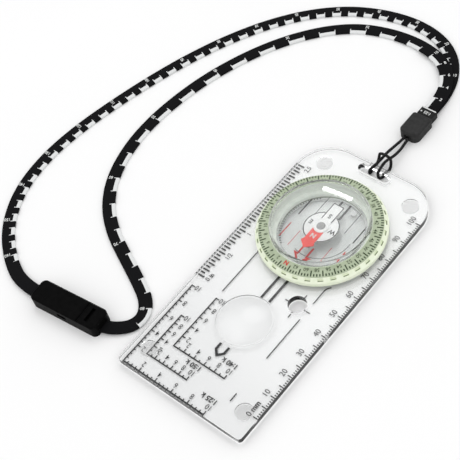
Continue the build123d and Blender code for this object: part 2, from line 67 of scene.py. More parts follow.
OUTER_ROUTE = [
    (-0.2, -87.5, 1.45),
    (-0.2, -98.6, 1.4),
    (0.3, -108.5, 0.75),
    (3.2, -119.0, 0.55),
    (9.8, -128.6, 0.55),
    (20.6, -135.4, 0.55),
    (35.0, -137.9, 0.55),
    (50.6, -135.8, 0.55),
    (65.8, -130.0, 0.55),
    (79.8, -119.8, 0.55),
    (91.8, -106.2, 0.55),
    (101.8, -90.0, 0.55),
    (109.8, -72.4, 0.55),
    (116.2, -53.8, 0.55),
    (121.4, -34.4, 0.55),
    (125.6, -14.4, 0.55),
    (127.2, 5.4, 0.55),
    (124.2, 25.0, 0.55),
    (114.6, 42.0, 0.55),
    (100.4, 53.6, 0.55),
    (86.6, 59.2, 1.2),
    (73.6, 57.93, 1.6),
]
INNER_ROUTE = [
    (-0.2, -87.5, 2.75),
    (-0.1, -98.6, 2.75),
    (0.6, -107.6, 2.2),
    (3.6, -115.6, 1.9),
    (9.6, -122.4, 1.9),
    (18.7, -126.3, 1.6),
    (30.4, -128.3, 0.75),
    (43.0, -127.1, 0.55),
    (54.9, -123.3, 0.55),
    (65.4, -116.3, 0.55),
    (75.2, -106.1, 0.55),
    (83.6, -93.8, 0.55),
    (90.4, -79.7, 0.55),
    (95.6, -64.4, 0.55),
    (98.7, -48.8, 0.55),
    (100.0, -33.1, 0.55),
    (98.7, -17.5, 0.55),
    (93.7, -1.7, 0.55),
    (85.0, 10.9, 0.55),
    (73.1, 20.0, 0.55),
    (59.9, 26.3, 0.55),
    (48.6, 31.6, 0.55),
    (39.8, 36.3, 0.55),
    (35.2, 42.2, 0.55),
    (35.9, 48.3, 0.75),
    (40.2, 52.8, 1.25),
    (44.6, 55.03, 1.6),
    (48.8, 55.45, 1.6),
]
LOOP_HALF = [
    (0.8, -84.2, 2.1),
    (0.9, -79.6, 2.1),
    (1.6, -74.6, 2.2),
    (1.7, -69.6, 3.2),
    (1.0, -65.4, 4.4),
    (1.3, -61.8, 4.35),
    (1.9, -58.5, 4.3),
    (2.5, -58.6, 0.72),
    (3.0, -61.9, 0.7),
    (3.1, -65.3, 0.75),
    (2.9, -66.4, 3.6),
    (2.5, -66.6, 6.2),
]
LOOP_ROUTE = LOOP_HALF + [(-x, y, z) for x, y, z in reversed(LOOP_HALF)]


# ---------------------------------------------------------------- camera
CAMERA_AT = Vector((-0.20438, 0.16947, 0.37806))
CAMERA_AIM = Vector((-0.49521, 0.36802, 0.78697))  # from the object towards the camera
CAMERA_ROLL = math.radians(-17.01)
CAMERA_LENS = 94.73


def make_camera():
    data = bpy.data.cameras.new("camera")
    data.lens = CAMERA_LENS
    data.sensor_width = 36.0
    data.clip_start = 0.01
    data.clip_end = 20.0
    camera = bpy.data.objects.new("camera", data)
    bpy.context.scene.collection.objects.link(camera)
    aim = CAMERA_AIM.to_track_quat("Z", "Y").to_matrix().to_4x4()
    camera.matrix_world = Matrix.Translation(CAMERA_AT) @ aim @ Matrix.Rotation(CAMERA_ROLL, 4, "Z")
    bpy.context.scene.camera = camera
    return camera


# ---------------------------------------------------------------- material helpers
def grey(level):
    return (level, level, level, 1)


def add_node(tree, kind, **inputs):
    """A shader node with its inputs set by name; an underscore stands for a space."""
    made = tree.nodes.new(kind)
    for name, value in inputs.items():
        made.inputs[name.replace("_", " ")].default_value = value
    return made


def principled(name, **inputs):
    material = bpy.data.materials.new(name)
    material.use_nodes = True
    shader = material.node_tree.nodes["Principled BSDF"]
    for key, value in inputs.items():
        shader.inputs[key.replace("_", " ")].default_value = value
    return material, material.node_tree, shader


def object_noise(tree, scale, detail=3.0):
    place = tree.nodes.new("ShaderNodeTexCoord")
    noise = add_node(tree, "ShaderNodeTexNoise", Scale=scale, Detail=detail)
    tree.links.new(place.outputs["Object"], noise.inputs["Vector"])
    return noise.outputs["Fac"]


def ramp(tree, source, stops):
    """Colour ramp from (position, colour) stops."""
    made = tree.nodes.new("ShaderNodeValToRGB")
    made.color_ramp.elements[0].position, made.color_ramp.elements[0].color = stops[0]
    made.color_ramp.elements[1].position, made.color_ramp.elements[1].color = stops[-1]
    for position, colour in stops[1:-1]:
        made.color_ramp.elements.new(position).color = colour
    tree.links.new(source, made.inputs["Fac"])
    return made.outputs["Color"]


def math_node(tree, operation, a, b=None):
    made = tree.nodes.new("ShaderNodeMath")
    made.operation = operation
    for socket, value in zip(made.inputs, (a, b)):
        if value is None:
            continue
        if isinstance(value, (int, float)):
            socket.default_value = value
        else:
            tree.links.new(value, socket)
    return made.outputs["Value"]


def add_bump(tree, shader, height, strength, distance):
    bump = add_node(tree, "ShaderNodeBump", Strength=strength, Distance=distance)
    tree.links.new(height, bump.inputs["Height"])
    tree.links.new(bump.outputs["Normal"], shader.inputs["Normal"])


def mottled(name, dark, light, scale, rough, bump_scale, bump_depth, **inputs):
    """Moulded plastic: slightly uneven colour, uneven gloss and a fine surface grain."""
    material, tree, shader = principled(name, **inputs)
    tone = ramp(tree, object_noise(tree, scale), [(0.3, dark), (0.7, light)])
    tree.links.new(tone, shader.inputs["Base Color"])
    low, high = rough
    gloss = ramp(tree, object_noise(tree, scale * 3), [(0.3, grey(low)), (0.7, grey(high))])
    tree.links.new(gloss, shader.inputs["Roughness"])
    add_bump(tree, shader, object_noise(tree, bump_scale), 0.5, bump_depth)
    return material


def clear_plastic(name, tint, index, ripple, **inputs):
    """Polished acrylic with the faint ripple that moulding leaves."""
    material, tree, shader = principled(
        name, Base_Color=tint, Roughness=0.0, IOR=index, Transmission_Weight=1.0, **inputs
    )
    add_bump(tree, shader, object_noise(tree, 60.0, 1.0), 1.0, ripple)
    return material


def ink(name, colour):
    """Screen-printed ink, a little uneven where it was laid; the notch shade made with it is painted
    shade, not print.
    """
    r, g, b = colour
    dark = (r * 0.8, g * 0.8, b * 0.8, 1)
    light = (min(1, r * 1.15), min(1, g * 1.15), min(1, b * 1.15), 1)
    return mottled(name, dark, light, 900.0, (0.45, 0.6), 4000.0, 0.000004, Specular_IOR_Level=0.2)


BLOCK_FROM = 0.23 * STRAP_W  # the white blocks reach from here to the strap's left edge
TICK_FROM = 0.07 * STRAP_W
TICK_HALF = 0.16
WARP_PITCH = 0.42
WEFT_PITCH = 0.55
PLY_PITCH = 1.4  # length of one turn of the loop cord's two plies


def strap_uv(tree):
    """The two coordinates of the UV map that tube() writes."""
    uv = tree.nodes.new("ShaderNodeUVMap")
    uv.uv_map = "strap"
    split = tree.nodes.new("ShaderNodeSeparateXYZ")
    tree.links.new(uv.outputs["UV"], split.inputs["Vector"])
    return split.outputs["X"], split.outputs["Y"]


def strap_material(name, block, first, last):
    """Woven strap, printed with white blocks on its left half; UV is (length, across) in mm."""
    material, tree, shader = principled(name, Specular_IOR_Level=0.04)
    along, across = strap_uv(tree)
    phase = math_node(tree, "FLOORED_MODULO", math_node(tree, "SUBTRACT", along, first), 2 * block)
    in_block = math_node(tree, "LESS_THAN", phase, block)
    at_side = math_node(tree, "GREATER_THAN", across, BLOCK_FROM)
    white = math_node(tree, "MULTIPLY", in_block, at_side)
    tick_phase = math_node(tree, "PINGPONG", math_node(tree, "SUBTRACT", along, first), block / 2)
    tick = math_node(tree, "LESS_THAN", tick_phase, TICK_HALF)
    tick = math_node(tree, "MULTIPLY", tick, math_node(tree, "GREATER_THAN", across, TICK_FROM))
    white = math_node(tree, "MAXIMUM", white, tick)
    printed = math_node(
        tree,
        "MULTIPLY",
        math_node(tree, "GREATER_THAN", along, first),
        math_node(tree, "LESS_THAN", along, last),
    )
    white = math_node(tree, "MULTIPLY", white, printed)
    warp = math_node(tree, "SINE", math_node(tree, "MULTIPLY", across, 2 * math.pi / WARP_PITCH))
    weft = math_node(tree, "SINE", math_node(tree, "MULTIPLY", along, 2 * math.pi / WEFT_PITCH))
    weave = math_node(tree, "MULTIPLY", warp, weft)
    height = math_node(tree, "ADD", math_node(tree, "MULTIPLY", weave, 0.5), 0.5)
    cloth = ramp(tree, height, [(0.0, (0.003, 0.003, 0.0035, 1)), (1.0, (0.010, 0.010, 0.011, 1))])
    paint = ramp(tree, height, [(0.0, (0.66, 0.67, 0.67, 1)), (1.0, (0.80, 0.81, 0.81, 1))])
    mix = tree.nodes.new("ShaderNodeMix")
    mix.data_type = "RGBA"
    tree.links.new(white, mix.inputs["Factor"])
    tree.links.new(cloth, mix.inputs["A"])
    tree.links.new(paint, mix.inputs["B"])
    tree.links.new(mix.outputs["Result"], shader.inputs["Base Color"])
    rough = ramp(tree, height, [(0.0, (0.75, 0.75, 0.75, 1)), (1.0, (0.6, 0.6, 0.6, 1))])
    tree.links.new(rough, shader.inputs["Roughness"])
    add_bump(tree, shader, height, 0.6, 0.00006)
    return material


def twisted_cord_material():
    """Thin black cord of two plies; UV is (length, around) in mm and turns."""
    material, tree, shader = principled("loop_cord_black", Specular_IOR_Level=0.15)
    along, around_cord = strap_uv(tree)
    turns = math_node(tree, "MULTIPLY", along, 1 / PLY_PITCH)
    twist = math_node(tree, "ADD", turns, math_node(tree, "MULTIPLY", around_cord, 2))
    ply = math_node(tree, "SINE", math_node(tree, "MULTIPLY", twist, 2 * math.pi))
    height = math_node(tree, "ADD", math_node(tree, "MULTIPLY", ply, 0.5), 0.5)
    colour = ramp(tree, height, [(0.0, (0.003, 0.003, 0.003, 1)), (1.0, (0.02, 0.02, 0.021, 1))])
    tree.links.new(colour, shader.inputs["Base Color"])
    rough = ramp(tree, height, [(0.0, (0.8, 0.8, 0.8, 1)), (1.0, (0.6, 0.6, 0.6, 1))])
    tree.links.new(rough, shader.inputs["Roughness"])
    add_bump(tree, shader, height, 0.8, 0.00012)
    return material


# mottled looks: dark and light colour, colour scale, gloss range, grain scale and grain depth
MOTTLED = {
    "rim": ((0.80, 0.87, 0.66, 1), (0.88, 0.93, 0.76, 1), 300.0, (0.3, 0.42), 2500.0, 0.000006),
    "band": ((0.38, 0.45, 0.30, 1), (0.48, 0.55, 0.39, 1), 300.0, (0.35, 0.5), 2500.0, 0.000006),
    "liner": ((0.66, 0.69, 0.63, 1), (0.76, 0.79, 0.73, 1), 400.0, (0.5, 0.7), 3000.0, 0.000004),
    "white": (grey(0.78), grey(0.86), 400.0, (0.35, 0.5), 3000.0, 0.000004),
    "red": ((0.80, 0.05, 0.04, 1), (0.90, 0.08, 0.06, 1), 400.0, (0.3, 0.4), 3000.0, 0.000004),
    "jewel": (grey(0.19), grey(0.24), 500.0, (0.15, 0.25), 2000.0, 0.000003),
    "steel": (grey(0.35), grey(0.5), 2000.0, (0.25, 0.4), 5000.0, 0.000003),
    "foot": (grey(0.85), grey(0.92), 500.0, (0.4, 0.6), 3000.0, 0.00001),
    "ferrule": (grey(0.022), grey(0.032), 700.0, (0.5, 0.65), 5000.0, 0.00002),
    "clip": (grey(0.002), grey(0.004), 500.0, (0.3, 0.42), 3500.0, 0.000006),
    "sleeve": (grey(0.006), grey(0.012), 900.0, (0.5, 0.65), 6000.0, 0.00002),
}
SHADER_INPUTS = {
    # the liner's emission is painted light: a faint glow that brightens the shaded wall seen inside the
    # capsule
    "liner": {"Emission_Color": (0.86, 0.90, 0.84, 1), "Emission_Strength": 0.22},
    "steel": {"Metallic": 1.0},
    "foot": {"Alpha": 0.05},
    "ferrule": {"Specular_IOR_Level": 0.12},
    "clip": {"Specular_IOR_Level": 0.02},
    "sleeve": {"Specular_IOR_Level": 0.15},
}
MATERIAL_NAMES = {
    "rim": "luminous_rim",
    "band": "luminous_band",
    "liner": "glowing_bore_liner",
    "white": "white_plastic",
    "red": "needle_red",
    "jewel": "jewel_grey",
    "steel": "ground_steel",
    "foot": "foot_rubber",
    "ferrule": "ferrule_grey",
    "clip": "clip_black",
    "sleeve": "sleeve_black",
}
INKS = {
    "ink_black": (0.012, 0.012, 0.013),
    "ink_grey": (0.16, 0.165, 0.165),
    "ink_red": (0.62, 0.035, 0.03),
    "ink_white": (0.72, 0.73, 0.72),
    "ink_green": (0.030, 0.050, 0.020),
    # painted shade for the rim's finger notches, laid like ink but standing for shadow, not print
    "notch_shade": (0.20, 0.24, 0.14),
}
PLATE_TINT = (0.918, 0.922, 0.922, 1)
PLATE_INDEX = 1.45
CAPSULE_TINT = (0.93, 0.94, 0.935, 1)
CAPSULE_INDEX = 1.18  # the liquid against the inner faces bends light less than air would
RIPPLE = 0.000002


def make_materials():
    made = {
        "plate": clear_plastic("clear_acrylic", PLATE_TINT, PLATE_INDEX, RIPPLE),
        "capsule": clear_plastic("clear_capsule", CAPSULE_TINT, CAPSULE_INDEX, RIPPLE, Coat_Weight=0.6),
        "cord": twisted_cord_material(),
    }
    for look, values in MOTTLED.items():
        made[look] = mottled(MATERIAL_NAMES[look], *values, **SHADER_INPUTS.get(look, {}))
    for name, colour in INKS.items():
        made[name] = ink(name, colour)
    return made


MATERIALS = make_materials()
CAD_LOOKS = {
    "baseplate": "plate",
    "grip_ring": "rim",
    "graduation_ring": "band",
    "retaining_ring": "white",
    "fill_plug": "white",
    "pivot_pin": "steel",
    "needle_disc": "white",
    "south_pointer": "white",
    "needle_hub": "white",
    "north_pointer": "red",
    "jewel_bearing": "jewel",
    "needle_magnet": "steel",
    "ferrule_top": "ferrule",
    "ferrule_bottom": "ferrule",
    "strap_sleeve": "sleeve",
    "clip_socket": "clip",
    "clip_plug": "clip",
    "friction_foot_1": "foot",
    "friction_foot_2": "foot",
    "friction_foot_3": "foot",
    "friction_foot_4": "foot",
}


def dress_cad_nodes():
    for node, look in CAD_LOOKS.items():
        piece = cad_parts[node]
        for slot in piece.material_slots:
            slot.material = MATERIALS[look]


# ---------------------------------------------------------------- meshes
def mesh_piece(name, vertices, faces, material):
    mesh = bpy.data.meshes.new(name)
    mesh.from_pydata([Vector(v) * MM for v in vertices], [], faces)
    mesh.validate()
    mesh.materials.append(material)
    piece = bpy.data.objects.new(name, mesh)
    bpy.context.scene.collection.objects.link(piece)
    return piece


class Print:
    """Printed marks on one surface, each a thin closed slab, gathered into one mesh.

    place(x, y) gives a point of the surface and its normal, in mm.
    """

    def __init__(self, name, place, thickness=INK):
        self.name = name
        self.place = place
        self.thickness = thickness
        self.vertices = []
        self.faces = []

    def slab(self, points, faces):
        """Adds flat faces over 2-D points, given thickness, with walls round their open edges."""
        base = len(self.vertices)
        count = len(points)
        placed = [self.place(x, y) for x, y in points]
        self.vertices += [point for point, _ in placed]
        self.vertices += [point + normal * self.thickness for point, normal in placed]
        edges = {(a, b) for face in faces for a, b in zip(face, face[1:] + face[:1])}
        for face in faces:
            self.faces.append([base + count + i for i in face])
            self.faces.append([base + i for i in reversed(face)])
        for a, b in sorted(edges):
            if (b, a) not in edges:
                self.faces.append([base + a, base + b, base + count + b, base + count + a])

    def outline(self, points):
        area = sum(a[0] * b[1] - b[0] * a[1] for a, b in zip(points, points[1:] + points[:1]))
        if area < 0:
            points = points[::-1]
        self.slab(points, [list(range(len(points)))])

    def bar(self, start, end, width):
        (x0, y0), (x1, y1) = start, end
        length = math.hypot(x1 - x0, y1 - y0)
        nx = -(y1 - y0) / length * width / 2
        ny = (x1 - x0) / length * width / 2
        self.outline([(x0 - nx, y0 - ny), (x1 - nx, y1 - ny), (x1 + nx, y1 + ny), (x0 + nx, y0 + ny)])

    def path(self, points, width):
        """A bent line of even width with mitred corners."""
        left, right = [], []
        for index, (x, y) in enumerate(points):
            before = Vector(points[max(index - 1, 0)])
            after = Vector(points[min(index + 1, len(points) - 1)])
            here = Vector((x, y))
            inward = (here - before).normalized() if index else (after - here).normalized()
            onward = (after - here).normalized() if index < len(points) - 1 else inward
            across = Vector((-(inward + onward).y, (inward + onward).x)).normalized()
            half = width / 2 / max(0.3, across.dot(Vector((-inward.y, inward.x))))
            left.append(here + across * half)
            right.append(here - across * half)
        count = len(points)
        flat = [tuple(p) for p in right] + [tuple(p) for p in left]
        faces = [[i, i + 1, count + i + 1, count + i] for i in range(count - 1)]
        self.slab(flat, faces)

    def arc(self, centre, radius, start, end, width):
        steps = max(2, int(abs(end - start) / 3))
        angles = [math.radians(start + (end - start) * i / steps) for i in range(steps + 1)]
        x, y = centre
        self.path([(x + radius * math.cos(a), y + radius * math.sin(a)) for a in angles], width)

    def text(self, words, at, height, angle=0.0, bold=0.0, squeeze=1.0):
        """Words in the built-in font, centred, with capitals of the given height."""
        curve = bpy.data.curves.new("words", "FONT")
        curve.body = words
        curve.align_x = "CENTER"
        curve.size = height / CAP_HEIGHT
        curve.offset = bold * height
        curve.resolution_u = 3
        holder = bpy.data.objects.new("words", curve)
        bpy.context.scene.collection.objects.link(holder)
        mesh = bpy.data.meshes.new_from_object(holder)
        turn = Matrix.Rotation(math.radians(angle), 2)
        shift = Vector(at)
        points = []
        for vertex in mesh.vertices:
            flat = Vector((vertex.co.x * squeeze, vertex.co.y - height / 2))
            points.append(tuple(turn @ flat + shift))
        faces = [list(polygon.vertices) for polygon in mesh.polygons]
        self.slab(points, faces)
        bpy.data.objects.remove(holder)
        bpy.data.curves.remove(curve)
        bpy.data.meshes.remove(mesh)

    def finish(self, material, body):
        piece = mesh_piece(self.name, self.vertices, self.faces, MATERIALS[material])
        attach(piece, body)
        return piece


CAP_HEIGHT = 0.73  # height of a capital in the built-in font, of its size


def flat_place(height, x0=0.0, y0=0.0):
    up = Vector((0, 0, 1))
    return lambda x, y: (Vector((x + x0, y + y0, height)), up)


def band_place(x, y):
    """Point of the sloping degree band above (x, y), measured from the dial's axis."""
    radius = math.hypot(x, y)
    slope = (BAND_IN[1] - BAND_OUT[1]) / (BAND_OUT[0] - BAND_IN[0])
    height = BAND_OUT[1] + (BAND_OUT[0] - radius) * slope + 0.01
    normal = Vector((x / radius * slope, y / radius * slope, 1)).normalized()
    return Vector((x, y + DIAL_Y, height)), normal


# ---------------------------------------------------------------- lanyard
class Line:
    """Smooth centre line through a route's control points, sampled from its spline, in mm."""

    def __init__(self, route):
        curve = bpy.data.curves.new("route", "CURVE")
        curve.dimensions = "3D"
        curve.resolution_u = 16
        spline = curve.splines.new("NURBS")
        spline.points.add(len(route) - 1)
        for point, (x, y, z) in zip(spline.points, route):
            point.co = (x * MM, y * MM, z * MM, 1)
        spline.order_u = 3
        spline.use_endpoint_u = True
        holder = bpy.data.objects.new("route", curve)
        bpy.context.scene.collection.objects.link(holder)
        mesh = bpy.data.meshes.new_from_object(holder)
        self.points = [vertex.co / MM for vertex in mesh.vertices]
        bpy.data.objects.remove(holder)
        bpy.data.curves.remove(curve)
        bpy.data.meshes.remove(mesh)
        self.lengths = [0.0]
        for a, b in zip(self.points, self.points[1:]):
            self.lengths.append(self.lengths[-1] + (b - a).length)
        self.total = self.lengths[-1]

    def at(self, distance):
        """Point and direction at a distance along the line."""
        index = 1
        while index < len(self.lengths) - 1 and self.lengths[index] < distance:
            index += 1
        a, b = self.points[index - 1], self.points[index]
        span = self.lengths[index] - self.lengths[index - 1]
        share = (distance - self.lengths[index - 1]) / span
        return a.lerp(b, share), (b - a).normalized()

    def directions(self):
        ends = [self.points[0], *self.points, self.points[-1]]
        return [(after - before).normalized() for before, after in zip(ends, ends[2:])]


STRAP_EDGE_R = 0.38


def strap_section():
    """Half-rounded flat section, (across, up) in mm, anticlockwise."""
    corners = [(1, 1), (-1, 1), (-1, -1), (1, -1)]
    section = []
    for number, (sx, sy) in enumerate(corners):
        cx = sx * (STRAP_W / 2 - STRAP_EDGE_R)
        cy = sy * (STRAP_T / 2 - STRAP_EDGE_R)
        for step in range(4):
            angle = math.radians(90 * number + 30 * step)
            section.append((cx + STRAP_EDGE_R * math.cos(angle), cy + STRAP_EDGE_R * math.sin(angle)))
    return section


def round_section(diameter, count=12):
    angles = [2 * math.pi * i / count for i in range(count)]
    return [(diameter / 2 * math.cos(a), diameter / 2 * math.sin(a)) for a in angles]


def tube(name, line, section, material, flat):
    """Closed tube of one section along a line; a flat one stays level."""
    vertices, faces, coordinates = [], [], []
    count = len(section)
    side = None
    for point, direction in zip(line.points, line.directions()):
        if flat or side is None:
            side = Vector((-direction.y, direction.x, 0)).normalized()
        side = (side - direction * side.dot(direction)).normalized()
        up = direction.cross(side)
        vertices += [point + side * a + up * b for a, b in section]
    rings = len(line.points)
    for ring in range(rings - 1):
        for i in range(count):
            j = (i + 1) % count
            low, high = ring * count, (ring + 1) * count
            faces.append([low + i, high + i, high + j, low + j])
            s0, s1 = line.lengths[ring], line.lengths[ring + 1]
            if flat:
                v0, v1 = section[i][0], section[j][0]
            else:
                v0, v1 = i / count, (i + 1) / count
            coordinates += [(s0, v0), (s1, v0), (s1, v1), (s0, v1)]
    for ring, order in ((0, 1), (rings - 1, -1)):
        cap = [ring * count + i for i in range(count)][::order]
        faces.append(cap)
        coordinates += [(line.lengths[ring], 0.0)] * count
    piece = mesh_piece(name, vertices, faces, material)
    layer = piece.data.uv_layers.new(name="strap")
    for loop, (u, v) in zip(layer.data, coordinates):
        loop.uv = (u, v)
    for polygon in piece.data.polygons:
        polygon.use_smooth = len(polygon.vertices) == 4
    return piece


def strap_place(line, lift):
    def place(along, across):
        point, direction = line.at(along)
        side = Vector((-direction.y, direction.x, 0)).normalized()
        up = direction.cross(side)
        return point + side * across + up * (STRAP_T / 2 + lift), up

    return place


SLEEVE_LEN = 9.9  # length of each strand hidden in the ferrule and the sleeve
OUTER_BLOCK, OUTER_BLOCKS = 3.67, 83  # length and number of the printed blocks
INNER_BLOCK, INNER_BLOCKS = 7.07, 41
FIGURE_ACROSS = -1.1
FIGURE_HEIGHT = 1.5
FIGURE_LIFT = 0.005


def make_lanyard():
    outer = Line(OUTER_ROUTE)
    inner = Line(INNER_ROUTE)
    loop = Line(LOOP_ROUTE)
    outer_last = SLEEVE_LEN + OUTER_BLOCKS * OUTER_BLOCK
    inner_last = SLEEVE_LEN + INNER_BLOCKS * INNER_BLOCK
    straps = [
        ("strap_outer", outer, OUTER_BLOCK, outer_last, ["strap_sleeve", "clip_socket"]),
        ("strap_inner", inner, INNER_BLOCK, inner_last, ["clip_plug"]),
    ]
    for node, line, block, last, fittings in straps:
        material = strap_material(f"lanyard_{node}_print", block, SLEEVE_LEN, last)
        strap = tube(f"lanyard_{node}", line, strap_section(), material, True)
        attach(strap, "baseplate")
        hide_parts(node)
        exit_point, _ = line.at(SLEEVE_LEN)
    cord = tube("lanyard_loop_cord", loop, round_section(LOOP_D), MATERIALS["cord"], False)
    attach(cord, "baseplate")
    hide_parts("loop_cord")
    number_strap("outer_numbers", outer, 5.04 * OUTER_BLOCK, 1.2 * OUTER_BLOCK, outer_last)
    number_strap("inner_numbers", inner, 5 * INNER_BLOCK, 0.0, inner_last)
    first_numbers(inner)
    sleeve_print()


def number_strap(name, line, pitch, start, last):
    """Small figures beside every fifth block, in tens."""
    figures = Print(name, strap_place(line, FIGURE_LIFT))
    number = 1
    along = SLEEVE_LEN + start + pitch
    while along <= last:
        figures.text(str(10 * number), (along, FIGURE_ACROSS), FIGURE_HEIGHT, -90, 0.02, 0.9)
        number += 1
        along = SLEEVE_LEN + start + number * pitch
    figures.finish("ink_white", "baseplate")


def first_numbers(line):
    """Even figures at the first four block edges."""
    figures = Print("first_numbers", strap_place(line, FIGURE_LIFT))
    for number in range(1, 5):
        along = SLEEVE_LEN + INNER_BLOCK * number
        figures.text(str(2 * number), (along, FIGURE_ACROSS), FIGURE_HEIGHT, -90, 0.02)
    figures.finish("ink_white", "baseplate")


def sleeve_print():
    """End line, a scale and a short dash, measured from the sleeve's free end."""
    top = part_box("strap_sleeve")[1].z / MM
    marks = Print("sleeve_print", flat_place(top + FIGURE_LIFT, -0.2, SLEEVE_END))
    marks.bar((-3.2, 0.35), (3.2, 0.35), 0.5)
    marks.text("1:25", (-0.4, 2.5), 1.4, 0, 0.02)
    marks.bar((2.1, 2.5), (2.7, 2.5), 0.6)
    marks.finish("ink_white", "baseplate")


# ---------------------------------------------------------------- print in the plate
ROMERS = [  # corner x and y, length, its divisions, label, its centre from the corner
    (28.2, 61.7, 40.0, 20, "1:25 k", 37.7),
    (22.7, 54.45, 20.0, 10, "1:50 k", 18.3),
    (16.3, 46.2, 25.0, 10, "1:40 k", 22.7),
]
ROMER_LINE = 0.55
ROMER_TICK_W = 0.85 * ROMER_LINE
ROMER_TICK = 1.6
ROMER_HALF_TICK = 0.9
ROMER_FIGURE = 2.3
ROMER_FIGURE_AT = 3.1
ROMER_LABEL = 2.1
ROMER_LABEL_AT = 5.95


def romer(marks, corner_x, corner_y, length, divisions, label, label_at):
    """Two scales numbered to ten that run from one corner along -X and -Y."""
    step = length / divisions
    half = ROMER_LINE / 2
    marks.bar((corner_x + half, corner_y), (corner_x - length - half, corner_y), ROMER_LINE)
    marks.bar((corner_x, corner_y - half), (corner_x, corner_y - length - half), ROMER_LINE)
    for number in range(1, divisions + 1):
        value = 10 * number // divisions
        numbered = 10 * number % divisions == 0 and value % 2 == 0
        tick = ROMER_TICK if numbered else ROMER_HALF_TICK
        along = number * step
        x, y = corner_x - along, corner_y - along
        marks.bar((x, corner_y - half), (x, corner_y - tick), ROMER_TICK_W)
        marks.bar((corner_x - half, y), (corner_x - tick, y), ROMER_TICK_W)
        if numbered:
            for at in ((x + 0.2, corner_y - ROMER_FIGURE_AT), (corner_x - ROMER_FIGURE_AT, y + 0.1)):
                marks.text(str(value), at, ROMER_FIGURE, 0, 0.002, 0.85)
    marks.text(label, (corner_x - label_at, corner_y - ROMER_LABEL_AT), ROMER_LABEL, 0, 0.035)


MM_ZERO_Y = 52.1
INCH_ZERO_Y = 16.3
INCH = 25.4
FIGURE_X = 25.1
MM_TICK_W = 0.42
MM_TICK_IN = (28.3, 27.2)  # inner end of a short and of a long tick
INCH_TICK_W = 0.7
INCH_TICK_IN = (27.6, 26.6)
MM_FIGURE = 2.4
INCH_FIGURE = 2.1


def mm_ruler(marks):
    """100 mm along the -X edge, reading towards -Y."""
    for number in range(101):
        y = MM_ZERO_Y - number
        inner = MM_TICK_IN[number % 5 == 0]
        marks.bar((-EDGE_X + 0.8, y), (-inner, y), MM_TICK_W)
        if number % 10 == 0 and number:
            marks.text(str(number), (-FIGURE_X, y), MM_FIGURE, -90, 0.0, 0.9)
    marks.text("0", (-FIGURE_X, MM_ZERO_Y), MM_FIGURE, -90, 0.015, 0.9)
    marks.text("mm", (-FIGURE_X - 0.1, MM_ZERO_Y - 3.6), 2.3, -90, 0.04, 0.9)


def inch_ruler(marks):
    """Two and a half inches along the +X edge in sixteenths."""
    for number in range(41):
        y = INCH_ZERO_Y - number * INCH / 16
        inner = INCH_TICK_IN[number % 2 == 0]
        marks.bar((EDGE_X - 0.3, y), (inner, y), INCH_TICK_W)
    halves = {1: "1/2", 2: "1", 3: "1 1/2", 4: "2", 5: "2.5"}
    for number, words in halves.items():
        at = (FIGURE_X - 0.3, INCH_ZERO_Y - number * INCH / 2)
        marks.text(words, at, INCH_FIGURE, -90, 0.01, 0.85)
    marks.text("0", (FIGURE_X - 0.2, INCH_ZERO_Y), INCH_FIGURE, -90, 0.015, 0.9)
    marks.text("in", (FIGURE_X - 0.3, INCH_ZERO_Y - 2.2), 2.0, -90, 0.04, 0.85)


TRAVEL_X = 1.95
TRAVEL_W = 1.05
TRAVEL_TIP = [(-TRAVEL_X, 35.2), (-TRAVEL_X, 38.2), (0.0, 40.2), (TRAVEL_X, 38.2), (TRAVEL_X, 35.2)]
GUIDE_X = 16.4
GUIDE_W = 0.45
GUIDE_BEND = [(16.4, -4.4), (16.9, -5.6), (17.8, -6.6)]  # outwards where it meets the dial
STENCIL_AT = (-12.1, 7.0)
STENCIL_TICK = (4.0, 5.8)


def travel_lines(marks):
    for sign in (-1, 1):
        marks.bar((sign * TRAVEL_X, -1.0), (sign * TRAVEL_X, 11.4), TRAVEL_W)
    marks.path(TRAVEL_TIP, TRAVEL_W)


def guide_lines(marks):
    marks.path([(GUIDE_X, 17.4), (GUIDE_X, -3.2), *GUIDE_BEND], GUIDE_W)
    marks.path([(-GUIDE_X, 2.9), (-GUIDE_X, -3.2), *[(-x, y) for x, y in GUIDE_BEND]], GUIDE_W)
    marks.bar((-GUIDE_X, 52.1), (-GUIDE_X, 48.3), GUIDE_W)
    marks.bar((-GUIDE_X, 31.0), (-GUIDE_X, 11.0), GUIDE_W)


def stencil_ticks(marks):
    near, far = STENCIL_TICK
    x, y = STENCIL_AT
    for dx, dy in ((1, 0), (-1, 0), (0, 1), (0, -1)):
        marks.bar((x + dx * near, y + dy * near), (x + dx * far, y + dy * far), GUIDE_W)


def make_plate_print():
    marks = Print("plate_print", flat_place(INK_IN_PLATE))
    for corner in ROMERS:
        romer(marks, *corner)
    mm_ruler(marks)
    inch_ruler(marks)
    travel_lines(marks)
    guide_lines(marks)
    stencil_ticks(marks)
    marks.finish("ink_black", "baseplate")


# ---------------------------------------------------------------- clear capsule
CAPSULE_WALL = 1.0
CAPSULE_STEP = 0.8  # thickness of the ledge over the seat
CAPSULE_SEAT = 4.2
FLOOR_R = 17.85
LID_SHOULDER = 0.8
LID_T = 0.9
BOSS_R = 1.6
BOSS_TOP = 3.8
LATHE_STEPS = 96


